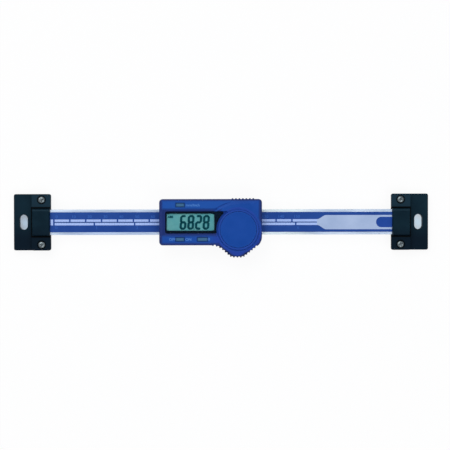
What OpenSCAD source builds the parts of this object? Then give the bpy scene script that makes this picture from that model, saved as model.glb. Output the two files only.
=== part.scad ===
// Horizontal digital linear scale: a flat steel beam held between two slotted end brackets,
// and a reading slider with its own display that runs along the beam.
// X runs along the beam, Y across it and Z away from the mounting plane. The origin is the
// centre of the left-hand bracket's slot, on the mounting plane.

/* [Measuring range] */
// Travel of the slider, which is the nominal measuring range
measuring_range = 150; // [100:10:300]
// Distance of the slider from its zero stop, which is what the display reads
reading = 68.28; // [0:0.01:100]
// Free play left between slider and bracket at each end of the travel
end_play = 0.3; // [0.1:0.05:1]

/* [Beam] */
// Width of the steel beam
beam_w = 16; // [15.8:0.1:16.2]
// Thickness of the steel beam
beam_t = 3.5; // [3.3:0.1:3.8]
// Width of the graduated label on the beam
label_w = 12.6; // [12:0.1:12.8]

/* [Brackets] */
// Length of a bracket along the beam
bracket_len = 23.6; // [22.5:0.1:26]
// Width of a bracket across the beam
bracket_w = 35.6; // [34:0.1:40]
// Thickness of the bracket's base, under the beam
base_t = 5; // [4.5:0.1:5.5]
// Length of the clamping cover along the beam
cover_len = 12; // [11.8:0.1:12.6]
// Width of the mounting slot
slot_w = 5.2; // [4.3:0.1:5.5]
// Length of the mounting slot, end to end
slot_len = 9.6; // [8:0.1:12]
// Distance from the bracket's outer end to the slot's centre
slot_inset = 6.1; // [5:0.1:7]
// Distance between the cover's two screws
cover_screw_pitch = 28.3; // [27:0.1:29]

/* [Slider] */
// Length of the slider along the beam
slider_len = 64.4; // [64:0.1:66]
// Width of the display housing across the beam, without its thumb lobe
housing_w = 29; // [28.7:0.1:30]
// How far the housing's middle lies beyond the beam's middle
housing_shift = 0; // [-0.1:0.1:0.4]
// How far the thumb lobe stands out from the housing
lobe_out = 7.7; // [7.4:0.1:8]
// Pitch of the grip's teeth
tooth_pitch = 2.2; // [2:0.1:2.5]
// Press travel of the keys
key_travel = 0.5; // [0.2:0.1:0.5]
// Angle through which the battery cover turns to unlock
cover_turn = 40; // [30:1:45]

/* [Hidden] */
$fn = 64;
cut = 1; // how far a cutting shape reaches past the face that it opens

// Stations along the beam
bracket_x0 = -slot_inset;
gap_x0 = bracket_x0 + bracket_len;
gap_len = measuring_range + slider_len + 2 * end_play;
gap_x1 = gap_x0 + gap_len;
mid_x = (gap_x0 + gap_x1) / 2;
slider_x = gap_x0 + end_play + reading;
beam_grip = 10.3; // length of beam inside each bracket

// Heights above the mounting plane
beam_z0 = base_t;
beam_z1 = beam_z0 + beam_t;
label_t = 0.15;
ear_z = base_t + 3;
block_z = ear_z + 3;
slide_gap = 0.05;
web_t = 1.5;
frame_z0 = beam_z0 - 0.1 - web_t;
plate_t = 2.4;
plate_z0 = frame_z0 - plate_t;
skirt_z = beam_z1 - 0.1;
board_z0 = beam_z1 + 1.3;
board_z1 = board_z0 + 1;
wall_z = board_z1 + 3; // underside of the housing's front wall
ledge_z = wall_z + 0.6; // the window rests here
window_z = ledge_z + 0.8;
face_z = window_z + 1;
plateau_z = face_z + 0.8;
boss_z = plateau_z + 0.8;

// Outline of the housing, in the slider's own x and in y
housing_y0 = housing_shift - housing_w / 2;
housing_y1 = housing_shift + housing_w / 2;
corner_r = 2.2;
wall = 1.8;
frame_inset = 0.6;
lobe_r = 4.8;
lobe_flat = 4.2;
lobe_x = 48.9;
lobe_slope_left = 42.5;
lobe_slope_right = 39;
lobe_fillet_r = 12.3;
lobe_side_r = 7.8;
lobe_a = [lobe_x - lobe_flat / 2, housing_y0 - lobe_out + lobe_r];
lobe_b = [lobe_x + lobe_flat / 2, lobe_a.y];

// Battery compartment and its bayonet cover
well_c = [49.55, housing_y0 + 9.85];
cell_r = 10;
cell_t = 3.2;
cell_z = board_z1 + 0.8;
well_r = 10.35;
well_floor_z = cell_z - 0.3;
boss_r_base = 13.7;
boss_r_top = 12.5;
seat_z = face_z;
cover_r = 11.35;
lug_r = 10.9;
lug_z = cell_z + cell_t + 0.2;
lug_t = 0.5;
lug_arc = 24;
bayonet_play = 0.15;

// Keys: centre and length of each, in the slider's own x and in y
key_w = 1.9;
unit_key_at = [13.15, housing_y1 - 3.7, 5];
power_key_at = [13, housing_y0 + 3.8, 5];
zero_key_at = [27.1, housing_y0 + 3.8, 6];
keys_at = [unit_key_at, power_key_at, zero_key_at];

// Long screws that hold plate, frame, board and housing together
screw_at = [[6, housing_y0 + 3.7], [36, housing_y0 + 3.7], [6, housing_y1 - 3.6], [58, housing_y1 - 3.6]];
slider_screw_r = 0.95;
gib_screw_x = [20, 43.5];
gib_t = 0.57;
gib_screw_r = 1.25;

// Window and display
window_x0 = 3.7;
window_x1 = 40.4;
window_y0 = housing_y0 + 7.4;
window_y1 = housing_y0 + 21.35;
window_corner = 0.8;
recess_slope = 2.1;
glass_x = [3.4, 36.6];
glass_y = [housing_y0 + 6.8, housing_y0 + 21.9];

// ---- outlines and shared shapes ----

// Points on an arc about c, from angle a0 to a1
function arc(c, r, a0, a1, n) = [for (i = [0:n]) let (a = a0 + (a1 - a0) * i / n) c + r * [cos(a), sin(a)]];

// A closed anticlockwise path moved inwards by d
function inset(path, d) = [for (i = [0:len(path) - 1])
  let (t = path[(i + 1) % len(path)] - path[(i + len(path) - 1) % len(path)])
  path[i] + d * [-t.y, t.x] / norm(t)];

// The point and the direction at distance s along an open path
function walk(path, s, i = 0) =
  let (step = path[i + 1] - path[i], d = norm(step))
  s <= d || i == len(path) - 2 ? [path[i] + step * s / d, step / d] : walk(path, s - d, i + 1);

function path_len(path, i = 0) = i >= len(path) - 1 ? 0 : norm(path[i + 1] - path[i]) + path_len(path, i + 1);

// The serrated stretch: a hollow fillet, the lobe's flat nose between its two rounded corners, and the
// rounding into the right-hand side
drop = (housing_y0 - lobe_fillet_r * (1 - cos(lobe_slope_left))) - (lobe_a.y - lobe_r * cos(lobe_slope_left));
fillet_x = lobe_a.x - (lobe_r + lobe_fillet_r) * sin(lobe_slope_left) - drop / tan(lobe_slope_left);
side_run = slider_len - lobe_side_r * (1 - sin(lobe_slope_right))
         - (lobe_b.x + lobe_r * sin(lobe_slope_right));
side_c = [slider_len - lobe_side_r,
          lobe_b.y - (lobe_r - lobe_side_r) * cos(lobe_slope_right) + side_run * tan(lobe_slope_right)];
grip_path = concat(
  arc([fillet_x, housing_y0 - lobe_fillet_r], lobe_fillet_r, 90, 90 - lobe_slope_left, 8),
  arc(lobe_a, lobe_r, 270 - lobe_slope_left, 270, 6),
  arc(lobe_b, lobe_r, 270, 270 + lobe_slope_right, 6),
  arc(side_c, lobe_side_r, 270 + lobe_slope_right, 360, 8));
housing_path = concat(
  arc([corner_r, housing_y0 + corner_r], corner_r, 180, 270, 6),
  grip_path,
  arc([slider_len - corner_r, housing_y1 - corner_r], corner_r, 0, 90, 6),
  arc([corner_r, housing_y1 - corner_r], corner_r, 90, 180, 6));

// The raised panel round the battery cover, at part f of the way up its sloping edge. Its upper
// left edge is a long sweep from the window's corner to the serrated top edge.
sweep_r = 34;
panel_x1 = slider_len - 0.66;
panel_y1 = housing_y1 - 0.66;
panel_c = [50, housing_y1 - 6.3];
function panel_ring(f) =
  let (d = 2.1 * f, r = 2.6)
  concat(
    arc([panel_x1 - r, panel_y1 - r], r - d, 0, 90, 5),
    arc([slider_len - 10.9, panel_y1 - sweep_r], sweep_r - d, 90, 121 - 6.2 * f, 8),
    [[36.8 + 3.7 * f, window_y1 + 0.25], [41.7 + 0.7 * f, window_y1 + 0.25],
     [46, 4], [52, -4], [panel_x1 - d, -4]]);

// A solid through a stack of rings [z, path], closed by fans about an inner point
module loft(rings, centre) {
  n = len(rings[0][1]);
  m = len(rings);
  points = concat([for (r = rings) for (p = r[1]) [p.x, p.y, r[0]]],
                  [[centre.x, centre.y, rings[0][0]], [centre.x, centre.y, rings[m - 1][0]]]);
  sides = [for (k = [0:m - 2]) for (i = [0:n - 1])
    let (a = k * n + i, b = k * n + (i + 1) % n) each [[a, a + n, b + n], [a, b + n, b]]];
  caps = [for (i = [0:n - 1]) each [[n * m, i, (i + 1) % n],
                                    [n * m + 1, (m - 1) * n + (i + 1) % n, (m - 1) * n + i]]];
  polyhedron(points = points, faces = concat(sides, caps));
}

module rounded(x0, y0, x1, y1, r) {
  translate([x0 + r, y0]) square([x1 - x0 - 2 * r, y1 - y0]);
  translate([x0, y0 + r]) square([x1 - x0, y1 - y0 - 2 * r]);
  for (x = [x0 + r, x1 - r], y = [y0 + r, y1 - r]) translate([x, y]) circle(r);
}

module slab(x0, y0, x1, y1, r, z0, z1) {
  translate([0, 0, z0]) linear_extrude(z1 - z0) rounded(x0, y0, x1, y1, r);
}

module block(x0, y0, z0, x1, y1, z1) {
  translate([x0, y0, z0]) cube([x1 - x0, y1 - y0, z1 - z0]);
}

module at_slider() { translate([slider_x, 0, 0]) children(); }
module at_well() { at_slider() translate([well_c.x, well_c.y, 0]) children(); }
module at_right() { translate([2 * mid_x, 0, 0]) mirror([1, 0, 0]) children(); }

// ---- beam ----

recess_w = 11;
recess_t = 1;

module beam() {
  c = 0.3;
  w = beam_w / 2;
  color("silver") difference() {
    translate([gap_x0 - beam_grip, 0, beam_z0]) rotate([90, 0, 90]) linear_extrude(gap_len + 2 * beam_grip)
      polygon([[-w + c, 0], [w - c, 0], [w, c], [w, beam_t - c], [w - c, beam_t],
               [-w + c, beam_t], [-w, beam_t - c], [-w, c]]);
    block(gap_x0 - beam_grip + 2, -recess_w / 2, beam_z1 - recess_t,
          gap_x1 + beam_grip - 2, recess_w / 2, beam_z1 + cut);
  }
}

module grating_strip() {
  color("darkkhaki") block(gap_x0 - beam_grip + 2.05, -recess_w / 2 + 0.05, beam_z1 - recess_t,
                           gap_x1 + beam_grip - 2.05, recess_w / 2 - 0.05, beam_z1);
}

module scale_label() {
  color("royalblue") block(gap_x0 - 3, -label_w / 2, beam_z1, gap_x1 + 3, label_w / 2, beam_z1 + label_t);
}

// ---- brackets ----

cover_x0 = gap_x0 - cover_len;
base_setback = 0.6; // the base ends this far short of the cover, which alone meets the slider
bracket_corner_r = 1.2;
block_foot = [cover_x0 + 0.1, gap_x0 - 0.2]; // the raised block's ends where it leaves the ears
block_taper = [0.6, 1.1]; // how far its sides lean in over their height, along and across the beam
block_w = 18.2;
block_edge_r = 0.4;
cover_screw_x = gap_x0 - 5.85;
cover_screw_r = 1.25;
thread_fit = 0.03; // radial play of every screw in its tapped hole
screw_head_r = 2.15;
head_seat_z = ear_z - 1;

module base() {
  color("dimgray") difference() {
    slab(bracket_x0, -bracket_w / 2, gap_x0 - base_setback, bracket_w / 2, bracket_corner_r, 0, base_t);
    translate([0, 0, -cut]) linear_extrude(base_t + 2 * cut) {
      square([slot_w, slot_len - slot_w], center = true);
      for (s = [-1, 1]) translate([0, s * (slot_len - slot_w) / 2]) circle(slot_w / 2);
    }
    for (s = [-1, 1]) translate([cover_screw_x, s * cover_screw_pitch / 2, -cut])
      cylinder(r = cover_screw_r, h = base_t + 2 * cut);
  }
}

// A bar from x = 0 to x = len whose section in y and z leans in to the top and is rounded there
module leaning_bar(len, y0, y1, lean) {
  r = block_edge_r;
  z0 = ear_z - 1;
  rotate([90, 0, 90]) linear_extrude(len)
    polygon(concat([[y0, z0], [y1, z0], [y1, ear_z]],
                   arc([y1 - lean - r, block_z - r], r, 0, 90, 4),
                   arc([y0 + lean + r, block_z - r], r, 90, 180, 4),
                   [[y0, ear_z]]));
}

// The raised block leans in on all four sides
module cover_block() {
  side = block_w / 2;
  len = block_foot[1] - block_foot[0];
  intersection() {
    translate([block_foot[0], 0, 0]) leaning_bar(len, -side, side, block_taper[1]);
    translate([0, side, 0]) rotate(-90) leaning_bar(block_w, block_foot[0], block_foot[1], block_taper[0]);
    slab(block_foot[0], -side, block_foot[1], side, bracket_corner_r, ear_z - cut, block_z + cut);
  }
}

module cover() {
  bed_x0 = gap_x0 - beam_grip - 0.1;
  color("dimgray") difference() {
    union() {
      slab(cover_x0, -bracket_w / 2, gap_x0, bracket_w / 2, bracket_corner_r, base_t, ear_z);
      cover_block();
    }
    block(bed_x0, -beam_w / 2 - 0.02, base_t - cut, gap_x0 + cut, beam_w / 2 + 0.02, beam_z1);
    block(bed_x0, -label_w / 2 - 0.2, base_t - cut,
          gap_x0 + cut, label_w / 2 + 0.2, beam_z1 + label_t + 0.05);
    for (s = [-1, 1]) translate([cover_screw_x, s * cover_screw_pitch / 2, 0]) {
      translate([0, 0, base_t - cut]) cylinder(r = cover_screw_r + 0.2, h = ear_z);
      translate([0, 0, head_seat_z]) cylinder(r = screw_head_r + 0.5, h = ear_z);
    }
  }
}

// A pan head with a cross recess, on the head's own axis: a short upright rim, then a rounded dome
module pan_screw(shank_z0, seat_z, shank_r, head_r, head_t) {
  rim = 0.45 * head_t;
  dome = head_t - rim;
  recess_r = 0.55 * head_r;
  recess_w = 0.6;
  translate([0, 0, shank_z0]) cylinder(r = shank_r, h = seat_z - shank_z0);
  difference() {
    translate([0, 0, seat_z]) rotate_extrude()
      polygon(concat([[0, 0], [head_r, 0], [head_r, rim]],
                     [for (a = [15:15:90]) [head_r * cos(a), rim + dome * sin(a)]]));
    for (a = [0, 90]) rotate(a) translate([-recess_r, -recess_w / 2, seat_z + rim])
      cube([2 * recess_r, recess_w, head_t]);
  }
}

module cover_screws() {
  color("silver") for (s = [-1, 1]) translate([cover_screw_x, s * cover_screw_pitch / 2, 0]) rotate(s * 20)
    pan_screw(0.8, head_seat_z, cover_screw_r - thread_fit, screw_head_r, 1.6);
}

module left_base() { base(); }
module left_cover() { cover(); }
module left_screws() { cover_screws(); }
module right_base() { at_right() base(); }
module right_cover() { at_right() cover(); }
module right_screws() { at_right() cover_screws(); }

// ---- slider chassis ----

lip_half = 6.6; // the front lips leave this half width open over the label
channel_y0 = -beam_w / 2 - slide_gap;
channel_y1 = beam_w / 2 + 0.65;

module slider_frame() {
  in0 = frame_inset;
  in1 = wall + 0.1;
  color("lightgray") at_slider() difference() {
    union() {
      slab(in0, housing_y0 + in0, slider_len - in0, housing_y1 - in0, 1.6, frame_z0, skirt_z);
      slab(in1, housing_y0 + in1, slider_len - in1, housing_y1 - in1, 0.6, skirt_z - cut, board_z0);
    }
    block(-cut, channel_y0, beam_z0 - 0.1, slider_len + cut, channel_y1, beam_z1 + slide_gap);
    block(-cut, -lip_half, beam_z0, slider_len + cut, lip_half, board_z0 + cut);
    for (p = screw_at) translate([p.x, p.y, frame_z0 - cut]) cylinder(r = 1.1, h = board_z0);
    for (x = gib_screw_x) translate([x, channel_y1 - cut, beam_z0 + beam_t / 2]) rotate([-90, 0, 0])
      cylinder(r = gib_screw_r, h = housing_w);
  }
}

module gib_strip() {
  color("peru") at_slider()
    block(3, beam_w / 2 + 0.03, beam_z0 + 0.3, slider_len - 3, beam_w / 2 + 0.03 + gib_t, beam_z1 - 0.3);
}

module gib_screws() {
  y0 = beam_w / 2 + 0.03 + gib_t;
  tip = 0.8;
  body = 3.4;
  color("dimgray") at_slider() for (x = gib_screw_x)
    translate([x, y0, beam_z0 + beam_t / 2]) rotate([-90, 0, 0]) difference() {
      union() {
        cylinder(r1 = 0.6, r2 = gib_screw_r - thread_fit, h = tip);
        translate([0, 0, tip]) cylinder(r = gib_screw_r - thread_fit, h = body);
      }
      translate([0, 0, tip + body - 1.4]) cylinder(r = 0.75, h = 2, $fn = 6);
    }
}

plate_inset = 1.1;
tapped_pitch = [40, 16];
tapped_r = 1.25;

module mounting_plate() {
  i = plate_inset;
  color("gainsboro") at_slider() difference() {
    slab(i, housing_y0 + i, slider_len - i, housing_y1 - i, 2, plate_z0, frame_z0);
    translate([slider_len / 2, housing_shift, plate_z0 - cut]) for (sx = [-1, 1], sy = [-1, 1])
      translate([sx * tapped_pitch.x / 2, sy * tapped_pitch.y / 2, 0])
        cylinder(r = tapped_r, h = plate_t + 2 * cut);
    for (p = screw_at) translate([p.x, p.y, 0]) {
      translate([0, 0, plate_z0 - cut]) cylinder(r = 1.1, h = plate_t + 2 * cut);
      translate([0, 0, plate_z0 - 0.01]) cylinder(r1 = 2, r2 = 1, h = 1.01);
    }
  }
}

module slider_screws() {
  color("silver") at_slider() for (p = screw_at) translate([p.x, p.y, plate_z0]) difference() {
    union() {
      cylinder(r1 = 1.9, r2 = 0.95, h = 0.95);
      cylinder(r = slider_screw_r - thread_fit, h = wall_z - 0.8 - plate_z0);
    }
    for (a = [0, 90]) rotate(a + 30) translate([-0.9, -0.2, -cut]) cube([1.8, 0.4, cut + 0.5]);
  }
}

// ---- electronics ----

module reader_board() {
  color("darkgreen") at_slider() block(8, -6.2, board_z0 - 0.95, 54, 6.2, board_z0);
}

module circuit_board() {
  i = wall + 0.4;
  color("seagreen") at_slider() difference() {
    slab(i, housing_y0 + i, slider_len - i, housing_y1 - i, 0.8, board_z0, board_z1);
    for (p = screw_at) translate([p.x, p.y, board_z0 - cut]) cylinder(r = 1.15, h = 3);
  }
}

module controller_chip() {
  r = 4.8;
  h = 0.85;
  color("black") at_slider() translate([19.5, 0.6, board_z1]) rotate_extrude()
    polygon(concat([[0, 0]], [for (a = [0:15:90]) [r * cos(a), h * sin(a)]]));
}

module key_switches() {
  color("silver") at_slider() for (p = keys_at) translate([p.x, p.y, 0]) {
    block(-1.75, -1.45, board_z1, 1.75, 1.45, board_z1 + 0.8);
    translate([0, 0, board_z1 + 0.8]) cylinder(r = 1, h = 0.15);
  }
}

module display_glass() {
  rear = board_z1 + 1.1;
  color("darkseagreen") at_slider() {
    block(glass_x[0], glass_y[0], rear, glass_x[1], glass_y[1], rear + 0.8);
    block(glass_x[0], glass_y[0] + 1.4, rear + 0.8, glass_x[1], glass_y[1] - 0.6, rear + 1.7);
  }
}

module display_holder() {
  t = 0.75;
  color("darkslategray") at_slider() difference() {
    slab(glass_x[0] - 0.1 - t, glass_y[0] - 0.1 - t, glass_x[1] + 0.1 + t, glass_y[1] + 0.1 + t, 0.7,
         board_z1, wall_z - 0.1);
    block(glass_x[0] - 0.1, glass_y[0] - 0.1, board_z1 - cut,
          glass_x[1] + 0.1, glass_y[1] + 0.1, wall_z + cut);
  }
}

module contact_strips() {
  color("hotpink") at_slider() for (y = [glass_y[0], glass_y[1] - 1.4])
    block(glass_x[0] + 0.8, y, board_z1, glass_x[1] - 0.8, y + 1.4, board_z1 + 1.1);
}

// ---- display housing ----

// The window's outline, cut round the battery boss and held back by d all round
module window_shape(d) {
  difference() {
    union() {
      rounded(window_x0 + d, window_y0 + d, window_x1 - d, window_y1 - d, window_corner);
      translate([window_x1 - 8, window_y0 + d]) square([8 - d, window_y1 - window_y0 - 2 * d]);
    }
    translate(well_c) circle(boss_r_base + d);
  }
}

module display_window() {
  color("black") at_slider() translate([0, 0, ledge_z]) linear_extrude(window_z - ledge_z) window_shape(0.05);
}

// Outer form: a rounded edge round the face, a sloping recess for the window, a raised panel
// and the battery boss
module housing_form() {
  edge = [[skirt_z, 0], [face_z - 1.2, 0], [face_z - 0.6, 0.15], [face_z - 0.2, 0.5], [face_z, 1.1]];
  panel_edge = [[window_z - 0.4, 0], [face_z + 0.05, 0], [plateau_z, 1]];
  difference() {
    loft([for (e = edge) [e[0], inset(housing_path, e[1])]], [46, -8]);
    hull() {
      block(window_x0, window_y0, window_z, well_c.x, window_y1, window_z + 0.01);
      block(window_x0 - recess_slope, window_y0 - recess_slope, face_z + 0.01,
            well_c.x, window_y1 + recess_slope, face_z + 0.3);
    }
  }
  loft([for (e = panel_edge) [e[0], panel_ring(e[1])]], panel_c);
  foot_z = window_z - 0.2;
  translate([well_c.x, well_c.y, foot_z]) rotate_extrude()
    polygon([[0, 0], [boss_r_base, 0], [boss_r_base, 0.2], [boss_r_top, boss_z - foot_z],
             [0, boss_z - foot_z]]);
}

module bayonet_slots() {
  p = bayonet_play;
  for (k = [0:2]) rotate(120 * k) {
    rotate([0, 0, -lug_arc / 2 - 1]) rotate_extrude(angle = lug_arc + cover_turn + 4)
      translate([well_r - 0.2, lug_z - 0.05]) square([lug_r + p - well_r + 0.2, lug_t + 0.1]);
    rotate([0, 0, cover_turn - lug_arc / 2 - 1]) rotate_extrude(angle = lug_arc + 2)
      translate([well_r - 0.2, lug_z - 0.05]) square([lug_r + p - well_r + 0.2, seat_z - lug_z + cut]);
  }
}

module front_housing() {
  tooth_r = 0.8;
  tooth_out = 0.05;
  tooth_start = 0.39;
  side_arc = lobe_side_r * (90 - lobe_slope_right) * PI / 180;
  teeth = floor((path_len(grip_path) - side_arc) / tooth_pitch - tooth_start);
  rib_r = 0.6;
  rib_x0 = 46;
  rib_pitch = 2.17;
  rib_top_z = face_z - 1.4;
  color("mediumblue") at_slider() difference() {
    union() {
      difference() {
        union() {
          housing_form();
          for (p = concat([for (k = [0:6]) [rib_x0 + k * rib_pitch, housing_y1 - 0.1]],
                          [[fillet_x + 0.9 * tooth_pitch, housing_y0 + 0.2]]))
            translate([p.x, p.y, skirt_z]) cylinder(r = rib_r, h = rib_top_z - skirt_z);
        }
        slab(wall, housing_y0 + wall, slider_len - wall, housing_y1 - wall, 0.6, skirt_z - cut, wall_z);
      }
      intersection() {
        translate([well_c.x, well_c.y, well_floor_z]) cylinder(r = 11.9, h = wall_z - well_floor_z + 0.5);
        block(wall - 0.5, housing_y0 + wall - 0.5, well_floor_z,
              slider_len - wall + 0.5, housing_y1 - wall, wall_z + 0.5);
      }
      for (p = screw_at) translate([p.x, p.y, board_z1]) cylinder(r = 2, h = wall_z - board_z1 + 0.5);
    }
    translate([0, 0, ledge_z]) linear_extrude(window_z - ledge_z + 0.005) window_shape(0);
    translate([0, 0, wall_z - cut]) linear_extrude(ledge_z - wall_z + cut + 0.01) window_shape(1);
    for (p = keys_at) key_slab(p, 0.15, 0.6, wall_z - cut, face_z + cut);
    for (p = screw_at) translate([p.x, p.y, board_z1 - cut])
      cylinder(r = slider_screw_r, h = cut + wall_z - 0.7 - board_z1);
    translate([well_c.x, well_c.y, 0]) {
      translate([0, 0, well_floor_z - 0.01]) cylinder(r = well_r, h = boss_z);
      translate([0, 0, seat_z]) cylinder(r = cover_r + bayonet_play, h = boss_z);
      bayonet_slots();
    }
    block(-cut, -beam_w / 2 - 0.5, skirt_z - cut,
          slider_len + cut, beam_w / 2 + 0.5, beam_z1 + label_t + 0.35);
    for (k = [1:teeth]) let (w = walk(grip_path, (k + tooth_start) * tooth_pitch))
      translate([w[0].x + tooth_out * w[1].y, w[0].y - tooth_out * w[1].x, skirt_z - cut])
        cylinder(r = tooth_r, h = boss_z, $fn = 24);
  }
}

// ---- power ----

module coin_cell() {
  color("silver") at_well() translate([0, 0, cell_z]) {
    cylinder(r = cell_r - 0.9, h = 0.4);
    translate([0, 0, 0.4]) cylinder(r = cell_r, h = cell_t - 0.4);
  }
}

module cell_contact_plus() {
  color("gold") at_well() {
    block(-well_r - 1.2, -2, board_z1, -well_r + 0.31, 2, board_z1 + 0.3);
    block(-well_r + 0.07, -1, board_z1, -well_r + 0.31, 1, cell_z + 2.2);
  }
}

module cell_contact_minus() {
  color("gold") at_well() {
    block(-4, -1.5, board_z1, 4, 1.5, board_z1 + 0.25);
    block(2, -1.5, board_z1, 4, 1.5, cell_z);
  }
}

module battery_cover() {
  flange_z = seat_z + 0.3;
  edge = 0.4;
  color("mediumblue") at_well() {
    rotate_extrude()
      polygon(concat([[0, flange_z], [8.8, flange_z], [8.8, lug_z], [well_r - 0.2, lug_z],
                      [well_r - 0.2, flange_z], [cover_r, flange_z]],
                     arc([cover_r - edge, boss_z - edge], edge, 0, 90, 4),
                     [[6, boss_z + 0.15], [0, boss_z + 0.2]]));
    for (k = [0:2]) rotate([0, 0, 120 * k - lug_arc / 2]) rotate_extrude(angle = lug_arc)
      translate([well_r - 0.6, lug_z]) square([lug_r - well_r + 0.6, lug_t]);
  }
}

module cover_seal() {
  color("black") at_well() translate([0, 0, seat_z]) difference() {
    cylinder(r = cover_r - 0.1, h = 0.3);
    translate([0, 0, -cut]) cylinder(r = well_r - 0.1, h = 3);
  }
}

// ---- keys ----

// The outline of the key at p, grown by d, from z0 to z1
module key_slab(p, d, r, z0, z1) {
  slab(p.x - p.z / 2 - d, p.y - key_w / 2 - d, p.x + p.z / 2 + d, p.y + key_w / 2 + d, r, z0, z1);
}

module key(p) {
  plunger_z = board_z1 + 1 + key_travel;
  color("slategray") at_slider() {
    key_slab(p, 0, 0.45, wall_z - 0.2, face_z + 0.3);
    key_slab(p, 0.75, 0.4, wall_z - 0.9, wall_z - 0.1);
    translate([p.x, p.y, plunger_z]) cylinder(r = 0.9, h = wall_z - 0.5 - plunger_z);
  }
}

module unit_key() { key(unit_key_at); }
module power_key() { key(power_key_at); }
module zero_key() { key(zero_key_at); }

beam();
grating_strip();
scale_label();
left_base();
left_cover();
left_screws();
right_base();
right_cover();
right_screws();
slider_frame();
gib_strip();
gib_screws();
mounting_plate();
slider_screws();
reader_board();
circuit_board();
controller_chip();
key_switches();
display_glass();
display_holder();
contact_strips();
display_window();
front_housing();
coin_cell();
cell_contact_plus();
cell_contact_minus();
unit_key();
power_key();
zero_key();
battery_cover();
cover_seal();
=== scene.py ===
# %% [markdown]
# # A digital linear scale
#
# The object is a flat steel beam with a printed blue face. Two black brackets clamp its ends, and a
# blue display unit slides along it. The solids come from the CAD model. This lesson gives each of them
# its finish, prints the beam's graduations and the key legends, and draws the figures of the display.

# %% Load the frame
import math

import bpy
import numpy as np
from mathutils import Matrix, Vector


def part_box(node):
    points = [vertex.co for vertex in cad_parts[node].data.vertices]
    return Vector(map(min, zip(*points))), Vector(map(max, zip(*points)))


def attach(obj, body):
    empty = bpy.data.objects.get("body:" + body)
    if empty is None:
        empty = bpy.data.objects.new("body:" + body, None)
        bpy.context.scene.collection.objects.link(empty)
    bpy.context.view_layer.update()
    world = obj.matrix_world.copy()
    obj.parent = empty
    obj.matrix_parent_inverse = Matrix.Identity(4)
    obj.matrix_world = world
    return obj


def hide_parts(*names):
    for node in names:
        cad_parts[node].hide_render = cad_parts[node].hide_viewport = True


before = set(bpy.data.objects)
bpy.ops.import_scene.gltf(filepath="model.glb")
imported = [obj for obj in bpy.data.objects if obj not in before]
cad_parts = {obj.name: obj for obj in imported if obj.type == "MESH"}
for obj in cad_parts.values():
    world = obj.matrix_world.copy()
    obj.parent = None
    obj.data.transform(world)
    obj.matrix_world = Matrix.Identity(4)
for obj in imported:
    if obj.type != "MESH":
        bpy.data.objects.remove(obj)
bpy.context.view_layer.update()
MM = 0.001

# %% [markdown]
# ## Where things are
#
# Every place is read from the solids, so the print follows the CAD model when its sizes change. All
# lengths in this lesson are in millimetres until a mesh is made, because that is how the real object
# is drawn.

# %% Read the main places, in millimetres


def box_mm(node):
    """Lowest and highest corner of a CAD node, in millimetres."""
    low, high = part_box(node)
    return np.array(low) / MM, np.array(high) / MM


_, label_high = box_mm("scale_label")
housing_low, housing_high = box_mm("front_housing")
_, glass_high = box_mm("display_glass")
window_low, window_high = box_mm("display_window")
left_low, left_high = box_mm("left_cover")
right_low, right_high = box_mm("right_cover")
boss_x, boss_y = (np.add(*box_mm("battery_cover")) / 2)[:2]
label_z = label_high[2]
slider_x = housing_low[0]
middle_x = (left_high[0] + right_low[0]) / 2
print("slider starts at", slider_x, "label top", label_z, "middle", middle_x)

# %% [markdown]
# ## The camera
#
# The view is almost straight down, from 0.91 m, with the camera over the middle of the beam's length
# and 15 mm to the far side of its centre line. A long lens keeps the perspective weak. A camera could be
# aimed with a Track To constraint, but the view also rolls a little, so three small turns about the
# camera's own axes, in radians, make its matrix: roll, tilt and pan.

# %% Camera


def rotation(axis, angle):
    """A turn about one axis as a 3 by 3 matrix."""
    return Matrix.Rotation(angle, 3, axis)


CAMERA_PLACE = (0.119337, 0.015137, 0.91)
ROLL, TILT, PAN = 0.0015797, 0.0188752, 0.0088896
SENSOR, LENS = 36, 114.35616

to_camera = rotation("Z", ROLL) @ rotation("X", TILT) @ rotation("Y", PAN)
camera_data = bpy.data.cameras.new("camera")
camera_data.sensor_width = SENSOR
camera_data.lens = LENS
camera = bpy.data.objects.new("camera", camera_data)
camera.matrix_world = Matrix.Translation(CAMERA_PLACE) @ to_camera.transposed().to_4x4()
bpy.context.scene.collection.objects.link(camera)
bpy.context.scene.camera = camera
bpy.context.scene.view_settings.view_transform = "Standard"
print("lens", round(camera_data.lens, 1), "mm")

# %% [markdown]
# ## Meshes from arrays
#
# A printed mark is ink with a real but tiny thickness, so each one is a closed slab: an outline, the
# same outline a little higher, and a wall between them. Solidify on a flat face would do the same for
# one mark, but there are hundreds here. One function makes any number of such slabs into one mesh, and
# the outlines are arrays worked out from formulas.

# %% Slabs of ink
INK = 0.02  # thickness of a layer of ink


def mesh_object(name, points, faces, body, material):
    """A flat-shaded mesh object from points in millimetres, riding on a body."""
    mesh = bpy.data.meshes.new(name)
    mesh.from_pydata((np.asarray(points, float) * MM).tolist(), [], faces)
    mesh.materials.append(material)
    mesh.validate()
    mesh.shade_flat()
    piece = bpy.data.objects.new(name, mesh)
    bpy.context.scene.collection.objects.link(piece)
    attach(piece, body)
    print(name, "has", len(mesh.polygons), "faces")
    return piece


def slabs(outlines, z0, z1):
    """Points and faces of closed slabs. Each outline is an anticlockwise loop of (x, y): its lower copy at
    z0 faces down, its upper copy at z1 faces up, and point i of one ring joins point i + 1 of the other."""
    points, faces, base = [], [], 0
    for loop in outlines:
        loop = np.asarray(loop, float)
        n = len(loop)
        points += [np.column_stack([loop, np.full(n, z)]) for z in (z0, z1)]
        i = np.arange(n)
        j = (i + 1) % n
        faces += [(base + i[::-1]).tolist(), (base + n + i).tolist()]
        faces += (base + np.column_stack([i, j, j + n, i + n])).tolist()
        base += 2 * n
    return np.vstack(points), faces


print("a layer of ink is", INK, "mm thick")

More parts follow.
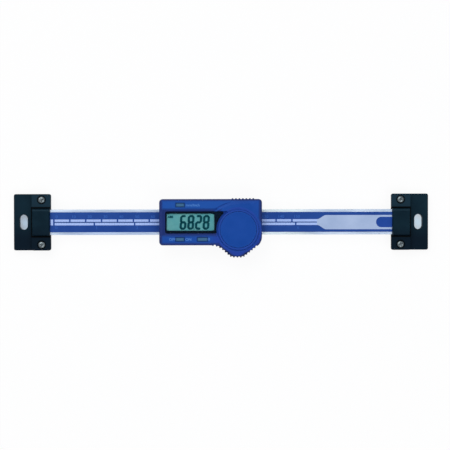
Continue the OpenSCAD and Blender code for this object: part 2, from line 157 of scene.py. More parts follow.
# %% [markdown]
# Most outlines are made of the same few bits: a rectangle, an arc, and a rectangle with rounded
# corners. Blender has them as curve presets, but an array can be cut, mirrored and joined at once.

# %% Outlines


def rectangle(x0, y0, x1, y1):
    """The four corners, anticlockwise from the lower left."""
    return np.array([[x0, y0], [x1, y0], [x1, y1], [x0, y1]])


def arc(cx, cy, r, start, stop, n=16):
    """n + 1 points on a circle about (cx, cy): angle runs evenly from start to stop, in degrees."""
    t = np.radians(np.linspace(start, stop, n + 1))
    return np.column_stack([cx + r * np.cos(t), cy + r * np.sin(t)])


def rounded(x0, y0, x1, y1, r, n=6):
    """A rectangle with rounded corners: four quarter circles, anticlockwise from the lower left."""
    return np.vstack([arc(x0 + r, y0 + r, r, 180, 270, n), arc(x1 - r, y0 + r, r, 270, 360, n),
                      arc(x1 - r, y1 - r, r, 0, 90, n), arc(x0 + r, y1 - r, r, 90, 180, n)])


print("a quarter circle of radius 1 ends at", arc(0, 0, 1, 0, 90)[-1].round(3))

# %% [markdown]
# ## Shared effects
#
# No real surface is perfectly even. Such an unevenness could be built again in every material, but a
# node group is built once and placed with its own values. Each group here gives a height for bumps, and
# a mask that wanders between 0 and 1 for roughness and tint. The helpers come first: they make a node,
# feed its inputs and hand back its output, so that a formula reads from left to right.

# %% Node helpers


def new_group(name, inputs, outputs):
    """A shader node group with float inputs {name: default} and the named float outputs."""
    group = bpy.data.node_groups.new(name, "ShaderNodeTree")
    for label, value in inputs.items():
        socket = group.interface.new_socket(label, in_out="INPUT", socket_type="NodeSocketFloat")
        socket.default_value = value
    for label in outputs:
        group.interface.new_socket(label, in_out="OUTPUT", socket_type="NodeSocketFloat")
    return group, group.nodes.new("NodeGroupInput"), group.nodes.new("NodeGroupOutput")


def feed(tree, socket, value):
    """Links an output socket to the socket, or sets the socket's own value."""
    if isinstance(value, bpy.types.NodeSocket):
        tree.links.new(value, socket)
    else:
        socket.default_value = value


def math_node(tree, kind, *values, clamp=False):
    """The result of a Math node; each value is a number or an output socket."""
    node = tree.nodes.new("ShaderNodeMath")
    node.operation = kind
    node.use_clamp = clamp
    for socket, value in zip(node.inputs, values):
        feed(tree, socket, value)
    return node.outputs[0]


def noise_node(tree, vector, scale, detail):
    """The factor of a Noise Texture; scale is a number or an output socket."""
    node = tree.nodes.new("ShaderNodeTexNoise")
    node.inputs["Detail"].default_value = detail
    feed(tree, node.inputs["Vector"], vector)
    feed(tree, node.inputs["Scale"], scale)
    return node.outputs["Fac"]


print("node helpers ready")

# %% Helpers for colours, ranges and places


def colour_between(tree, factor, a, b):
    """A mix from colour a to colour b; each is a colour or an output socket."""
    node = tree.nodes.new("ShaderNodeMix")
    node.data_type = "RGBA"
    feed(tree, node.inputs["Factor"], factor)
    for label, value in (("A", a), ("B", b)):
        feed(tree, node.inputs[label], value)
    return node.outputs["Result"]


def map_range(tree, value, spans, interpolation="LINEAR"):
    """A value moved from one span to another; spans is (from min, from max, to min, to max)."""
    node = tree.nodes.new("ShaderNodeMapRange")
    node.interpolation_type = interpolation
    for label, bound in zip(("From Min", "From Max", "To Min", "To Max"), spans):
        node.inputs[label].default_value = bound
    feed(tree, node.inputs["Value"], value)
    return node.outputs["Result"]


def object_place(tree):
    """The place on the object, in metres."""
    return tree.nodes.new("ShaderNodeTexCoord").outputs["Object"]


def stretched(tree, along):
    """The place on the object with its x shrunk, so that a noise read there is long in x."""
    mapping = tree.nodes.new("ShaderNodeMapping")
    mapping.inputs["Scale"].default_value = (along, 1.0, 1.0)
    feed(tree, mapping.inputs["Vector"], object_place(tree))
    return mapping.outputs["Vector"]


print("colour, range and place helpers ready")

# %% [markdown]
# Moulded plastic and sprayed paint have a fine grain and large, soft differences of gloss. A scanned
# picture of a surface could give both, but noise never repeats and needs no file. Noise seldom leaves
# its middle values, so the mask is spread until it reaches 0 and 1.

# %% Grain of a moulded or painted surface
grain, grain_in, grain_out = new_group("moulded grain", {"Fine": 2500.0, "Broad": 90.0}, ["Height", "Mask"])
fine = noise_node(grain, object_place(grain), grain_in.outputs["Fine"], 2.0)
broad = noise_node(grain, object_place(grain), grain_in.outputs["Broad"], 4.0)
feed(grain, grain_out.inputs["Height"], fine)
feed(grain, grain_out.inputs["Mask"], math_node(grain, "MULTIPLY_ADD", broad, 2.4, -0.7, clamp=True))
print("group", grain.name)

# %% [markdown]
# Grinding leaves long parallel lines on steel. A Wave Texture would draw them too regularly, so the
# same noise is read at a place whose x is shrunk: it then changes slowly along the beam and quickly
# across it. The patches of the mask are stretched less than the lines.

# %% Lines of ground steel
ground, ground_in, ground_out = new_group("ground lines", {"Across": 2600.0}, ["Height", "Mask"])
lines = noise_node(ground, stretched(ground, 0.012), ground_in.outputs["Across"], 4.0)
patches = noise_node(ground, stretched(ground, 0.12), 260.0, 3.0)
feed(ground, ground_out.inputs["Height"], lines)
feed(ground, ground_out.inputs["Mask"], math_node(ground, "MULTIPLY_ADD", patches, 2.6, -0.8, clamp=True))
print("group", ground.name)

# %% [markdown]
# ## Materials
#
# Each finish is one Principled shader with a few constants of its own. The effect group bends its
# normal a little through a Bump node and moves its roughness and colour between two values, so that no
# surface is the same all over. A Bevel node rounds the shading of sharp CAD edges, as a real edge
# always has a small radius. A Bevel modifier would round the mesh, but the CAD meshes stay as they are.

# %% Material builder


def finish(name, dark, light, roughness=(0.4, 0.5), effect=grain, effect_values=None, bump=0.1,
           depth=0.02, radius=0.15, **constants):
    """A material whose colour runs from dark to light and whose roughness runs between two values with the
    effect's mask. bump and depth (mm) set the relief; radius (mm) rounds sharp edges in the shading."""
    material = bpy.data.materials.new(name)
    material.use_nodes = True
    tree = material.node_tree
    shader = tree.nodes["Principled BSDF"]
    group = tree.nodes.new("ShaderNodeGroup")
    group.node_tree = effect
    for label, value in (effect_values or {}).items():
        group.inputs[label].default_value = value
    mask = group.outputs["Mask"]
    feed(tree, shader.inputs["Base Color"], colour_between(tree, mask, (*dark, 1), (*light, 1)))
    feed(tree, shader.inputs["Roughness"], map_range(tree, mask, (0.0, 1.0, *roughness)))
    relief = tree.nodes.new("ShaderNodeBump")
    relief.inputs["Strength"].default_value = bump
    relief.inputs["Distance"].default_value = depth * MM
    feed(tree, relief.inputs["Height"], group.outputs["Height"])
    if radius:
        edge = tree.nodes.new("ShaderNodeBevel")
        edge.samples = 6
        edge.inputs["Radius"].default_value = radius * MM
        feed(tree, relief.inputs["Normal"], edge.outputs["Normal"])
    feed(tree, shader.inputs["Normal"], relief.outputs["Normal"])
    for socket, value in constants.items():
        shader.inputs[socket.replace("_", " ")].default_value = value
    return material


def wear(material, *nodes):
    """Puts a material on every slot of the named CAD nodes."""
    for node in nodes:
        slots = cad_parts[node].data.materials
        for i in range(len(slots)):
            slots[i] = material


print("material builder ready")

# %% [markdown]
# The housing and its round cover are moulded in blue plastic, the brackets are painted black, and the
# keys are a grey rubbery plastic. All are nearly matt. A low specular level keeps the pale sky from
# laying a haze over the deep colours, which a higher roughness alone would not do.

# %% Plastic and paint
HAZE = {"Specular_IOR_Level": 0.1}
housing_blue = finish("moulded blue", (0.006, 0.06, 0.32), (0.011, 0.075, 0.368), (0.4, 0.5),
                      bump=0.25, **HAZE)
cover_blue = finish("moulded blue, cover", (0.005, 0.06, 0.325), (0.009, 0.07, 0.36), (0.38, 0.46),
                    bump=0.2, **HAZE)
bracket_black = finish("black paint", (0.0025, 0.0135, 0.0235), (0.0045, 0.0205, 0.0335), (0.42, 0.55),
                       effect_values={"Fine": 1400.0, "Broad": 120.0}, bump=0.35, depth=0.03, radius=0.3,
                       Specular_IOR_Level=0.05)
key_grey = finish("key", (0.024, 0.1, 0.21), (0.042, 0.13, 0.26), (0.5, 0.62), bump=0.2, **HAZE)
seal_black = finish("seal rubber", (0.01, 0.01, 0.01), (0.02, 0.02, 0.02), (0.6, 0.7))
print("plastic and paint made")

# %% [markdown]
# Metals take their colour from what they mirror, so each has Metallic at or near 1, and its base colour
# only tints the reflection. Anisotropic shading could stretch a highlight across the grinding, but the
# ground lines do that by themselves as relief. The rolled and ground metals use them, and the plated
# and blackened ones keep the plain grain.

# %% Metals
beam_steel = finish("ground stainless steel", (0.56, 0.7, 0.88), (0.76, 0.86, 1.0), (0.34, 0.46),
                    effect=ground, bump=0.4, Metallic=0.9)
chassis_steel = finish("chassis steel", (0.26, 0.27, 0.29), (0.4, 0.41, 0.43), (0.32, 0.46), effect=ground,
                       bump=0.15, Metallic=1.0)
plate_metal = finish("brushed aluminium", (0.45, 0.46, 0.48), (0.6, 0.61, 0.63), (0.34, 0.48),
                     effect=ground, bump=0.2, Metallic=1.0)
screw_steel = finish("plated screw", (0.1, 0.13, 0.138), (0.22, 0.258, 0.268), (0.19, 0.3), bump=0.25,
                     Metallic=0.88)
black_steel = finish("black oxide", (0.02, 0.02, 0.022), (0.05, 0.05, 0.055), (0.35, 0.5), Metallic=1.0)
brass = finish("brass", (0.62, 0.44, 0.18), (0.78, 0.58, 0.28), (0.25, 0.4), effect=ground, Metallic=1.0)
gold = finish("gold plate", (0.75, 0.55, 0.22), (0.9, 0.68, 0.32), (0.18, 0.3), Metallic=1.0)
print("metals made")

# %% [markdown]
# Inside the unit are two boards under green solder mask, a chip under a black epoxy blob, a plastic
# holder and layered rubber contacts, and under the label lies the laminate strip that the unit reads.
# Copper tracks and printing could be drawn on the boards, but all this is out of sight, so each part
# gets one plain finish from the same builder.

# %% Boards and inner parts
board_green = finish("solder mask", (0.01, 0.07, 0.03), (0.02, 0.12, 0.05), (0.3, 0.42))
chip_black = finish("epoxy", (0.008, 0.008, 0.008), (0.016, 0.016, 0.017), (0.25, 0.4))
holder_dark = finish("holder plastic", (0.02, 0.022, 0.024), (0.035, 0.037, 0.04), (0.5, 0.6))
contact_pink = finish("contact rubber", (0.35, 0.14, 0.18), (0.5, 0.2, 0.26), (0.5, 0.65))
grating_tan = finish("laminate", (0.3, 0.22, 0.07), (0.4, 0.3, 0.1), (0.4, 0.5))
print("inner parts made")

# %% [markdown]
# The label is a satin film printed blue, with white, pale and faint inks on it. One texture could hold
# the whole print, but inks as thin meshes stay sharp from close by. Ink has no edge to round, so its
# radius is 0. The liquid crystal and the black print lie under the window and catch even less light.

# %% Prints and display
PRINTED = {"bump": 0.05, "radius": 0, **HAZE}
UNDER_GLASS = {"bump": 0.05, "radius": 0, "Specular_IOR_Level": 0.03}
label_blue = finish("label blue", (0.014, 0.06, 0.285), (0.02, 0.075, 0.325), (0.36, 0.44), bump=0.05, **HAZE)
ink_white = finish("white ink", (0.37, 0.48, 0.7), (0.45, 0.56, 0.78), (0.42, 0.5), **PRINTED)
ink_pale = finish("pale ink", (0.06, 0.19, 0.53), (0.08, 0.23, 0.6), (0.42, 0.5), **PRINTED)
ink_band = finish("band ink", (0.38, 0.52, 0.9), (0.44, 0.58, 0.96), (0.42, 0.5), **PRINTED)
ink_faint = finish("faint ink", (0.032, 0.12, 0.45), (0.045, 0.15, 0.52), (0.42, 0.5), **PRINTED)
ink_blue = finish("blue ink", (0.012, 0.061, 0.31), (0.017, 0.07, 0.35), (0.36, 0.44), **PRINTED)
lcd_grey = finish("liquid crystal", (0.075, 0.32, 0.365), (0.14, 0.4, 0.385), (0.3, 0.4),
                  effect_values={"Broad": 110.0}, **UNDER_GLASS)
segment_dark = finish("dark segments", (0.0, 0.052, 0.068), (0.0005, 0.064, 0.082), (0.4, 0.5), **UNDER_GLASS)
surround_black = finish("black print", (0.0, 0.004, 0.012), (0.0, 0.007, 0.02), (0.4, 0.5), **UNDER_GLASS)
print("prints and display made")

# %% [markdown]
# The window is clear plastic. A refracting shader would need many light bounces to show the display, so
# the pane only reflects: it is a mirror-like surface that is almost fully transparent, with the small
# part that clear plastic reflects as its opacity.

# %% Clear pane
pane_clear = finish("clear pane", (0.9, 0.93, 0.95), (0.95, 0.97, 1.0), (0.06, 0.12), bump=0.02, radius=0,
                    Metallic=1.0, Alpha=0.012)
print("pane made")

# %% [markdown]
# ## Shades by place
#
# One moulding is never one colour to the eye. Slopes, gaps and undercut edges of this unit look darker
# than its flat face, and rolled edges look lighter. Vertex colours could hold such shades, but the CAD
# meshes have few vertices on their flat faces. So two small node groups measure distance in the
# object's own place instead. One gives 1 inside a rectangle, the other gives 1 inside a disc, and both
# fall to 0 over a soft border outside it.

# %% Mask groups


def place_xy(tree):
    """The x and y of the place on the object."""
    split = tree.nodes.new("ShaderNodeSeparateXYZ")
    feed(tree, split.inputs["Vector"], object_place(tree))
    return split.outputs["X"], split.outputs["Y"]


def fade(tree, distance, border):
    """1 where the distance is 0 or less, falling evenly to 0 at the border."""
    return math_node(tree, "SUBTRACT", 1.0, math_node(tree, "DIVIDE", distance, border), clamp=True)


near, near_in, near_out = new_group("near rectangle", {
    "Middle X": 0.0, "Middle Y": 0.0, "Half X": 0.01, "Half Y": 0.01, "Border": 0.001}, ["Mask"])
outside = []
for axis, value in zip("XY", place_xy(near)):
    offset = math_node(near, "SUBTRACT", value, near_in.outputs["Middle " + axis])
    offset = math_node(near, "ABSOLUTE", offset)
    outside.append(math_node(near, "SUBTRACT", offset, near_in.outputs["Half " + axis]))
farther = math_node(near, "MAXIMUM", *outside)
feed(near, near_out.inputs["Mask"], fade(near, farther, near_in.outputs["Border"]))

disc, disc_in, disc_out = new_group("near disc", {
    "Middle X": 0.0, "Middle Y": 0.0, "Radius": 0.01, "Border": 0.001}, ["Mask"])
squares = []
for axis, value in zip("XY", place_xy(disc)):
    offset = math_node(disc, "SUBTRACT", value, disc_in.outputs["Middle " + axis])
    squares.append(math_node(disc, "MULTIPLY", offset, offset))
reach = math_node(disc, "SQRT", math_node(disc, "ADD", *squares))
beyond_rim = math_node(disc, "SUBTRACT", reach, disc_in.outputs["Radius"])
feed(disc, disc_out.inputs["Mask"], fade(disc, beyond_rim, disc_in.outputs["Border"]))
print("groups", near.name, "and", disc.name)

# %% [markdown]
# A mask is placed in a material with its lengths in millimetres, and masks can be subtracted from one
# another or joined. shade_where then mixes a colour over whatever feeds the material's colour so far,
# so that the shades lie over one another in the order in which they are given.

# %% Masks in a material


def placed(tree, group, **lengths):
    """A mask group in a material, with its lengths given in millimetres."""
    node = tree.nodes.new("ShaderNodeGroup")
    node.node_tree = group
    for label, value in lengths.items():
        node.inputs[label.replace("_", " ")].default_value = value * MM
    return node.outputs["Mask"]


def in_rectangle(tree, x0, y0, x1, y1, border):
    """1 in a rectangle, falling to 0 over the border outside it."""
    return placed(tree, near, Middle_X=(x0 + x1) / 2, Middle_Y=(y0 + y1) / 2, Half_X=(x1 - x0) / 2,
                  Half_Y=(y1 - y0) / 2, Border=border)


def in_disc(tree, x, y, radius, border):
    """1 in a disc, falling to 0 over the border outside it."""
    return placed(tree, disc, Middle_X=x, Middle_Y=y, Radius=radius, Border=border)


def round_rectangle(tree, x0, y0, x1, y1, width, border):
    """1 in a band of the given width round a rectangle, and 0 inside it."""
    outer = in_rectangle(tree, x0 - width, y0 - width, x1 + width, y1 + width, border)
    return math_node(tree, "SUBTRACT", outer, in_rectangle(tree, x0, y0, x1, y1, border), clamp=True)


def beyond(tree, *masks):
    """1 where none of the masks reaches."""
    union = masks[0]
    for mask in masks[1:]:
        union = math_node(tree, "MAXIMUM", union, mask)
    return math_node(tree, "SUBTRACT", 1.0, union)


def shade_where(material, mask, colour):
    """Mixes a colour over the material's own where the mask is 1."""
    tree = material.node_tree
    base = tree.nodes["Principled BSDF"].inputs["Base Color"]
    own = base.links[0].from_socket if base.is_linked else base.default_value
    feed(tree, base, colour_between(tree, mask, own, (*colour, 1)))


print("mask helpers ready")

# %% [markdown]
# The housing's face has a raised panel with a sweeping edge. The strip above it catches the most light,
# and the lobe under the battery cover turns away from it. The walls of the display's recess slope down
# steeply and look darkest. The cone round the cover, and the cover's own bevelled edge, lie between.
# Real slopes darken by themselves under a directional light, but the large soft lamps of this scene
# hardly tell them apart, so each has a shade of its own.

# %% Shades of the housing's face
SWEEP_X, SWEEP_Y, PANEL_R = slider_x + 53.5, -20.16, 33.5  # circle of the raised panel's edge
CONE_R = 13.8  # foot of the cone round the cover
LID_R = 10.7  # the cover's flat middle
STRIP = (slider_x + 3, 9.0, boss_x + 2, 12.8)  # x0, y0, x1, y1 of the face above the panel

tree = housing_blue.node_tree
strip = in_rectangle(tree, *STRIP, 1.5)
strip = math_node(tree, "SUBTRACT", strip, in_disc(tree, SWEEP_X, SWEEP_Y, PANEL_R, 0.8), clamp=True)
lobe = in_rectangle(tree, boss_x - 12, housing_low[1], housing_high[0], boss_y, 6)
recess = in_rectangle(tree, window_low[0] - 1.8, window_low[1] - 0.6, window_high[0] - 2.5,
                      window_high[1] + 0.6, 1.6)
cone = in_disc(tree, boss_x, boss_y, CONE_R, 0.5)
shade_where(housing_blue, strip, (0.012, 0.084, 0.38))
shade_where(housing_blue, lobe, (0.015, 0.051, 0.34))
shade_where(housing_blue, recess, (0.014, 0.034, 0.17))
shade_where(housing_blue, cone, (0.015, 0.063, 0.35))
bevel = beyond(cover_blue.node_tree, in_disc(cover_blue.node_tree, boss_x, boss_y, LID_R, 0.5))
shade_where(cover_blue, bevel, (0.012, 0.083, 0.41))
print("strip, lobe, recess, cone and cover shaded")

# %% [markdown]
# The panel's sweeping edge is a small step. Its foot lies in shade and its rounded top catches the
# light, so it shows as a dark and a light line side by side. Each line is the ring between two discs,
# kept to the stretch where the step stands.

# %% The sweeping edge
SWEEP_LINES = (  # outer radius, inner radius and colour
    (34.1, 33.4, (0.003, 0.047, 0.28)), (33.0, 32.0, (0.012, 0.079, 0.385)))
SWEEP_STRETCH = (slider_x + 35.5, 7.5, boss_x - 7, 12.6)
stretch = in_rectangle(tree, *SWEEP_STRETCH, 2.5)
for outer, inner, colour in SWEEP_LINES:
    line = math_node(tree, "SUBTRACT", in_disc(tree, SWEEP_X, SWEEP_Y, outer, 0.3),
                     in_disc(tree, SWEEP_X, SWEEP_Y, inner, 0.3))
    shade_where(housing_blue, math_node(tree, "MULTIPLY", line, stretch), colour)
print("lines along the sweeping edge:", len(SWEEP_LINES))

# %% [markdown]
# The face falls away in a rounded rim all the way round, and past it only the tips of the finger teeth
# stand out, deep in shade. Both are found from the other side: they are what lies beyond the face, the
# boss and the nose under it, each a mask of its own, so one smaller and one larger set give the two.

# %% Rim and tips of the teeth
NOSE = (boss_x - 0.65, -14.8)
FACE = (slider_x + 2.4, -12.5, housing_high[0] - 2.4, 12.9)  # the flat face, without its rim
BODY = (slider_x - 1, -14.6, housing_high[0] - 0.2, 14.55)  # the body, without its teeth
rim = beyond(tree, in_rectangle(tree, *FACE, 1.1), in_disc(tree, boss_x, boss_y, 14.2, 1.0),
             in_disc(tree, *NOSE, 5.5, 1.2))
tips = beyond(tree, in_rectangle(tree, *BODY, 0.3), in_disc(tree, boss_x, boss_y, 14.9, 0.5),
              in_disc(tree, *NOSE, 6.4, 0.6))
shade_where(housing_blue, rim, (0.016, 0.035, 0.17))
shade_where(housing_blue, tips, (0.006, 0.014, 0.065))
print("rim and tips shaded")

# %% [markdown]
# Each key stands in a narrow gap, and no light reaches down into it. The cap itself is slightly domed,
# so that its middle is the brightest. The gap is a dark band in the housing's material round the cap,
# and the middle is a lighter rectangle in the key's own.

# %% Keys and their gaps
KEYS = ("unit_key", "power_key", "zero_key")
KEY_FLANGE = 0.75  # a key's hidden foot stands out this far beyond its cap
KEY_GAP = 0.4
DOME_X, DOME_Y = 0.6, 0.5  # the light middle starts this far inside the cap
for node in KEYS:
    (x0, y0, _), (x1, y1, _) = box_mm(node)
    cap = (x0 + KEY_FLANGE, y0 + KEY_FLANGE, x1 - KEY_FLANGE, y1 - KEY_FLANGE)
    shade_where(housing_blue, round_rectangle(tree, *cap, KEY_GAP, 0.4), (0.006, 0.035, 0.15))
    middle = in_rectangle(key_grey.node_tree, cap[0] + DOME_X, cap[1] + DOME_Y, cap[2] - DOME_X,
                          cap[3] - DOME_Y, 0.5)
    shade_where(key_grey, middle, (0.05, 0.145, 0.275))
    print(node, "cap is", round(cap[2] - cap[0], 2), "by", round(cap[3] - cap[1], 2), "mm")

# %% [markdown]
# The brackets are cast and painted, and black paint shows its shape by small differences of light only,
# so this light and shade is painted into its colour. The part on the near side of the beam is the darkest,
# a painted shade. On each cover the far ear is the lightest, painted light, a thin painted highlight runs
# along the raised block over the beam, a painted shadow goes round the foot of that block, and the screws
# sit in painted shade in their seats. Stronger lamps would show all this too, but they would wash out the
# print. The step is open towards the middle of the beam, so the rectangle of its shadow runs on past the
# cover on that side.

# %% Painted shade and light on the black paint
NEAR_SIDE = (-30, -30, 280, -10)  # x0, y0, x1, y1 round the near ends of both brackets
EAR_Y = (9.5, 16.5)
EDGE_Y = (7.3, 7.8)
OPEN_SIDE = 3  # the step's rectangle runs this far past the cover, where it is open
BLOCK_HALF = 8.3  # half the block's width
STEP_SHADOW_WIDTH = 1.1
# SEAT_SHADE_R is how far the painted shade reaches round a screw's head
HEAD_R, SEAT_SHADE_R = 2.15, 2.3  # a screw's head, and the dark seat round it
tree = bracket_black.node_tree
# painted shade on the near side of both brackets
shade_where(bracket_black, in_rectangle(tree, *NEAR_SIDE, 8), (0.002, 0.0092, 0.0185))
for low, high, opens in ((left_low, left_high, "right"), (right_low, right_high, "left")):
    x0, x1 = low[0], high[0]
    # painted light on the far ear, a painted highlight along the block's edge, a painted shadow round its
    # foot
    lit_ear = in_rectangle(tree, x0 + 0.5, EAR_Y[0], x1 - 0.5, EAR_Y[1], 1.5)
    edge = in_rectangle(tree, x0 + 0.8, EDGE_Y[0], x1 - 0.8, EDGE_Y[1], 0.4)
    from_x, to_x = (x0 + 0.6, x1 + OPEN_SIDE) if opens == "right" else (x0 - OPEN_SIDE, x1 - 0.6)
    step = round_rectangle(tree, from_x, -BLOCK_HALF, to_x, BLOCK_HALF, STEP_SHADOW_WIDTH, 0.5)
    shade_where(bracket_black, lit_ear, (0.0095, 0.0295, 0.047))
    shade_where(bracket_black, edge, (0.011, 0.031, 0.047))
    shade_where(bracket_black, step, (0.0, 0.0005, 0.001))
# painted shade in the seat round each screw
for node in ("left_screws", "right_screws"):
    (x0, y0, _), (x1, y1, _) = box_mm(node)
    for y in (y0 + HEAD_R, y1 - HEAD_R):
        shade_where(bracket_black, in_disc(tree, (x0 + x1) / 2, y, SEAT_SHADE_R, 0.9), (0.0, 0.003, 0.006))
print("black paint shaded")

# %% [markdown]
# The beam's steel has light painted into its colour: a painted shade darkens one stretch of its near
# edge, and a painted reflection brightens a stretch beyond the slider. On the label a thin dark line
# separates the millimetres from the inches. It could be one more slab of ink, but it lies where only
# the label shows, so a mask in the label's own colour draws it without a mesh.

# %% Painted shade and reflection on the steel, and the label's middle line
SHADED_STRETCH = (30, -10, 78, -6.2)  # x0, y0, x1, y1 on the beam
REFLECTING_STRETCH = (148, -10, 172, 10)
MIDDLE_LINE = (left_high[0] + 2, -0.19, left_high[0] + 167, -0.03)
# painted shade along the near edge, and a painted reflection beyond the slider
shade_where(beam_steel, in_rectangle(beam_steel.node_tree, *SHADED_STRETCH, 10), (0.52, 0.65, 0.87))
shade_where(beam_steel, in_rectangle(beam_steel.node_tree, *REFLECTING_STRETCH, 14), (0.84, 0.96, 1.0))
shade_where(label_blue, in_rectangle(label_blue.node_tree, *MIDDLE_LINE, 0.08), (0.006, 0.04, 0.1))
print("middle line from", MIDDLE_LINE[0], "to", MIDDLE_LINE[2])

# %% [markdown]
# ## Dressing the solids
#
# Each CAD node now gets the finish of what it is on the real object. A node is one part, or a few
# parts of one kind such as a pair of screws, so one finish for all its slots is enough. Blender would
# let every face have its own slot, but no part here is made of two materials.

# %% Dress the CAD nodes
DRESS = ((beam_steel, "beam"), (label_blue, "scale_label"), (grating_tan, "grating_strip"),
         (bracket_black, "left_base", "left_cover", "right_base", "right_cover"),
         (screw_steel, "left_screws", "right_screws", "slider_screws"),
         (chassis_steel, "slider_frame", "key_switches", "coin_cell"),
         (plate_metal, "mounting_plate"), (brass, "gib_strip"), (black_steel, "gib_screws"),
         (board_green, "reader_board", "circuit_board"), (chip_black, "controller_chip"),
         (holder_dark, "display_holder"), (contact_pink, "contact_strips"), (lcd_grey, "display_glass"),
         (housing_blue, "front_housing"), (cover_blue, "battery_cover"),
         (gold, "cell_contact_plus", "cell_contact_minus"), (key_grey, *KEYS), (seal_black, "cover_seal"))
for material, *nodes in DRESS:
    wear(material, *nodes)
print("dressed", sum(len(row) - 1 for row in DRESS), "CAD nodes")

# %% [markdown]
# ## The graduations
#
# The label carries two pale bands with a thin dark line between them. Ticks show the blue label in each
# band, from that line outwards: every millimetre in the upper band, deeper at every five and right
# through at every ten, and every sixteenth of an inch in the lower band, deeper at the eighth, quarter
# and half. Blue ticks could be laid over a white band, but ink only lies where the print is pale, so
# each band is a row of combs, one between each pair of cuts.

# %% One comb of a band
CUT = 0.95  # width of a tick that goes right through
FINE = 0.09  # width of a fine tick


def comb(x0, x1, y0, y1, ticks):
    """A rectangle from x0 to x1 between y0, the edge at the middle line, and y1, with notches at y0: each
    tick is (x, depth), and its notch has four corners, FINE / 2 to either side of x, at depth 0 and at
    the tick's depth. The loop is anticlockwise when y1 is above y0, and is turned round when it isn't."""
    side = 1 if y1 > y0 else -1
    x, depth = np.array(ticks, float).reshape(-1, 2).T
    notch_x = x[:, None] + FINE / 2 * np.array([-1, -1, 1, 1])
    notch_y = y0 + side * depth[:, None] * np.array([0, 1, 1, 0])
    notches = np.column_stack([notch_x.ravel(), notch_y.ravel()])
    return np.vstack([[(x0, y0)], notches, [(x1, y0), (x1, y1), (x0, y1)]])[::side]


print("a comb with one tick has", len(comb(0, 2, 0, 1, [(1, 0.5)])), "corners")

# %% [markdown]
# The depth of a tick follows from its number, as on a ruler: the first step that divides the number
# decides. So no list of ticks has to be written down, and both bands come from the same function.

# %% Both bands
zero_x = left_high[0] + 2.1
band_end = zero_x + 165.8
UPPER = (0.21, 1.73)  # from the edge at the middle line to the outer edge
LOWER = (-0.43, -1.95)
INCH = 25.4
MILLIMETRES = {5: 1.2, 1: 0.75}  # depth of every fifth tick, and of the others
SIXTEENTHS = {8: 1.15, 4: 0.95, 2: 0.75, 1: 0.55}  # the half inch, quarter, eighth and sixteenth


def tick_depth(i, depths):
    """The depth for the first step in depths that divides i."""
    return next(depth for step, depth in depths.items() if i % step == 0)


def band(pitch, count, cut_every, y0, y1, depths):
    """Combs between the cuts, which stand at every cut_every-th tick from zero. The last comb runs on,
    without ticks, to the end of the band."""
    combs = []
    for k in range(0, count + 1, cut_every):
        x0 = zero_x + k * pitch + CUT / 2
        x1 = zero_x + (k + cut_every) * pitch - CUT / 2 if k < count else band_end
        numbers = range(k + 1, min(k + cut_every, count))
        combs.append(comb(x0, x1, y0, y1, [(zero_x + i * pitch, tick_depth(i, depths)) for i in numbers]))
    return combs


bands = band(1.0, 150, 10, *UPPER, MILLIMETRES) + band(INCH / 16, 96, 16, *LOWER, SIXTEENTHS)
bands.append(rectangle(left_high[0] + 0.05, LOWER[1], zero_x - 0.55, UPPER[1]))
mesh_object("graduation_bands", *slabs(bands, label_z, label_z + INK), "scale", ink_band)
print("bands:", len(bands), "combs")

# %% [markdown]
# At their right end the bands flare into a plain white plate, which reaches the bracket, with a blue
# lozenge printed over it. A Bezier curve could draw the flare, but a smooth step is one formula, and it
# starts and ends level by itself.

# %% White plate and blue lozenge
PLATE_LOW, PLATE_HIGH = -4.7, 4.3
FLARE_LENGTH = 5.8
LOZENGE_Y, LOZENGE_R = -0.15, 3.3
plate_end = right_low[0] + 2.5
lozenge_x = right_low[0] - 9.8


def flare(y_from, y_to, n=14):
    """A smooth S between two levels: y = from + (to - from) * s^2 * (3 - 2 s), s from 0 to 1 along x."""
    s = np.linspace(0, 1, n)
    return np.column_stack([band_end + FLARE_LENGTH * s, y_from + (y_to - y_from) * s * s * (3 - 2 * s)])


plate = np.vstack([flare(LOWER[1], PLATE_LOW), [[plate_end, PLATE_LOW], [plate_end, PLATE_HIGH]],
                   flare(UPPER[1], PLATE_HIGH)[::-1]])
lozenge = np.vstack([arc(lozenge_x + LOZENGE_R, LOZENGE_Y, LOZENGE_R, 90, 270),
                     [[plate_end, LOZENGE_Y - LOZENGE_R], [plate_end, LOZENGE_Y + LOZENGE_R]]])
mesh_object("graduation_plate", *slabs([plate], label_z, label_z + INK), "scale", ink_white)
mesh_object("graduation_lozenge", *slabs([lozenge], label_z + INK, label_z + 2 * INK), "scale", ink_blue)
print("plate from", round(band_end, 1), "to", round(plate_end, 1))

# %% [markdown]
# ## Numbers
#
# Letters are printed like the bands. Their outlines come from Blender's own font, because a text object
# draws any word cleanly at any size. Each is turned into a mesh with a little thickness, and its points
# are then moved to their place, so that the piece itself stays at the origin.

# %% Text as flat closed letters
CAP_HEIGHT = 0.72  # height of the font's capitals for a size of 1


def letter_mesh(text, height, align, weight):
    """A text as a mesh in millimetres: its outline is moved out by weight, filled and made INK thick."""
    curve = bpy.data.curves.new("letters", "FONT")
    curve.body, curve.size, curve.align_x = text, height / CAP_HEIGHT, align
    curve.extrude, curve.offset = INK / 2, weight
    curve.resolution_u = 4
    holder = bpy.data.objects.new("letters", curve)
    bpy.context.scene.collection.objects.link(holder)
    mesh = bpy.data.meshes.new_from_object(holder.evaluated_get(bpy.context.evaluated_depsgraph_get()))
    bpy.data.objects.remove(holder)
    bpy.data.curves.remove(curve)
    return mesh


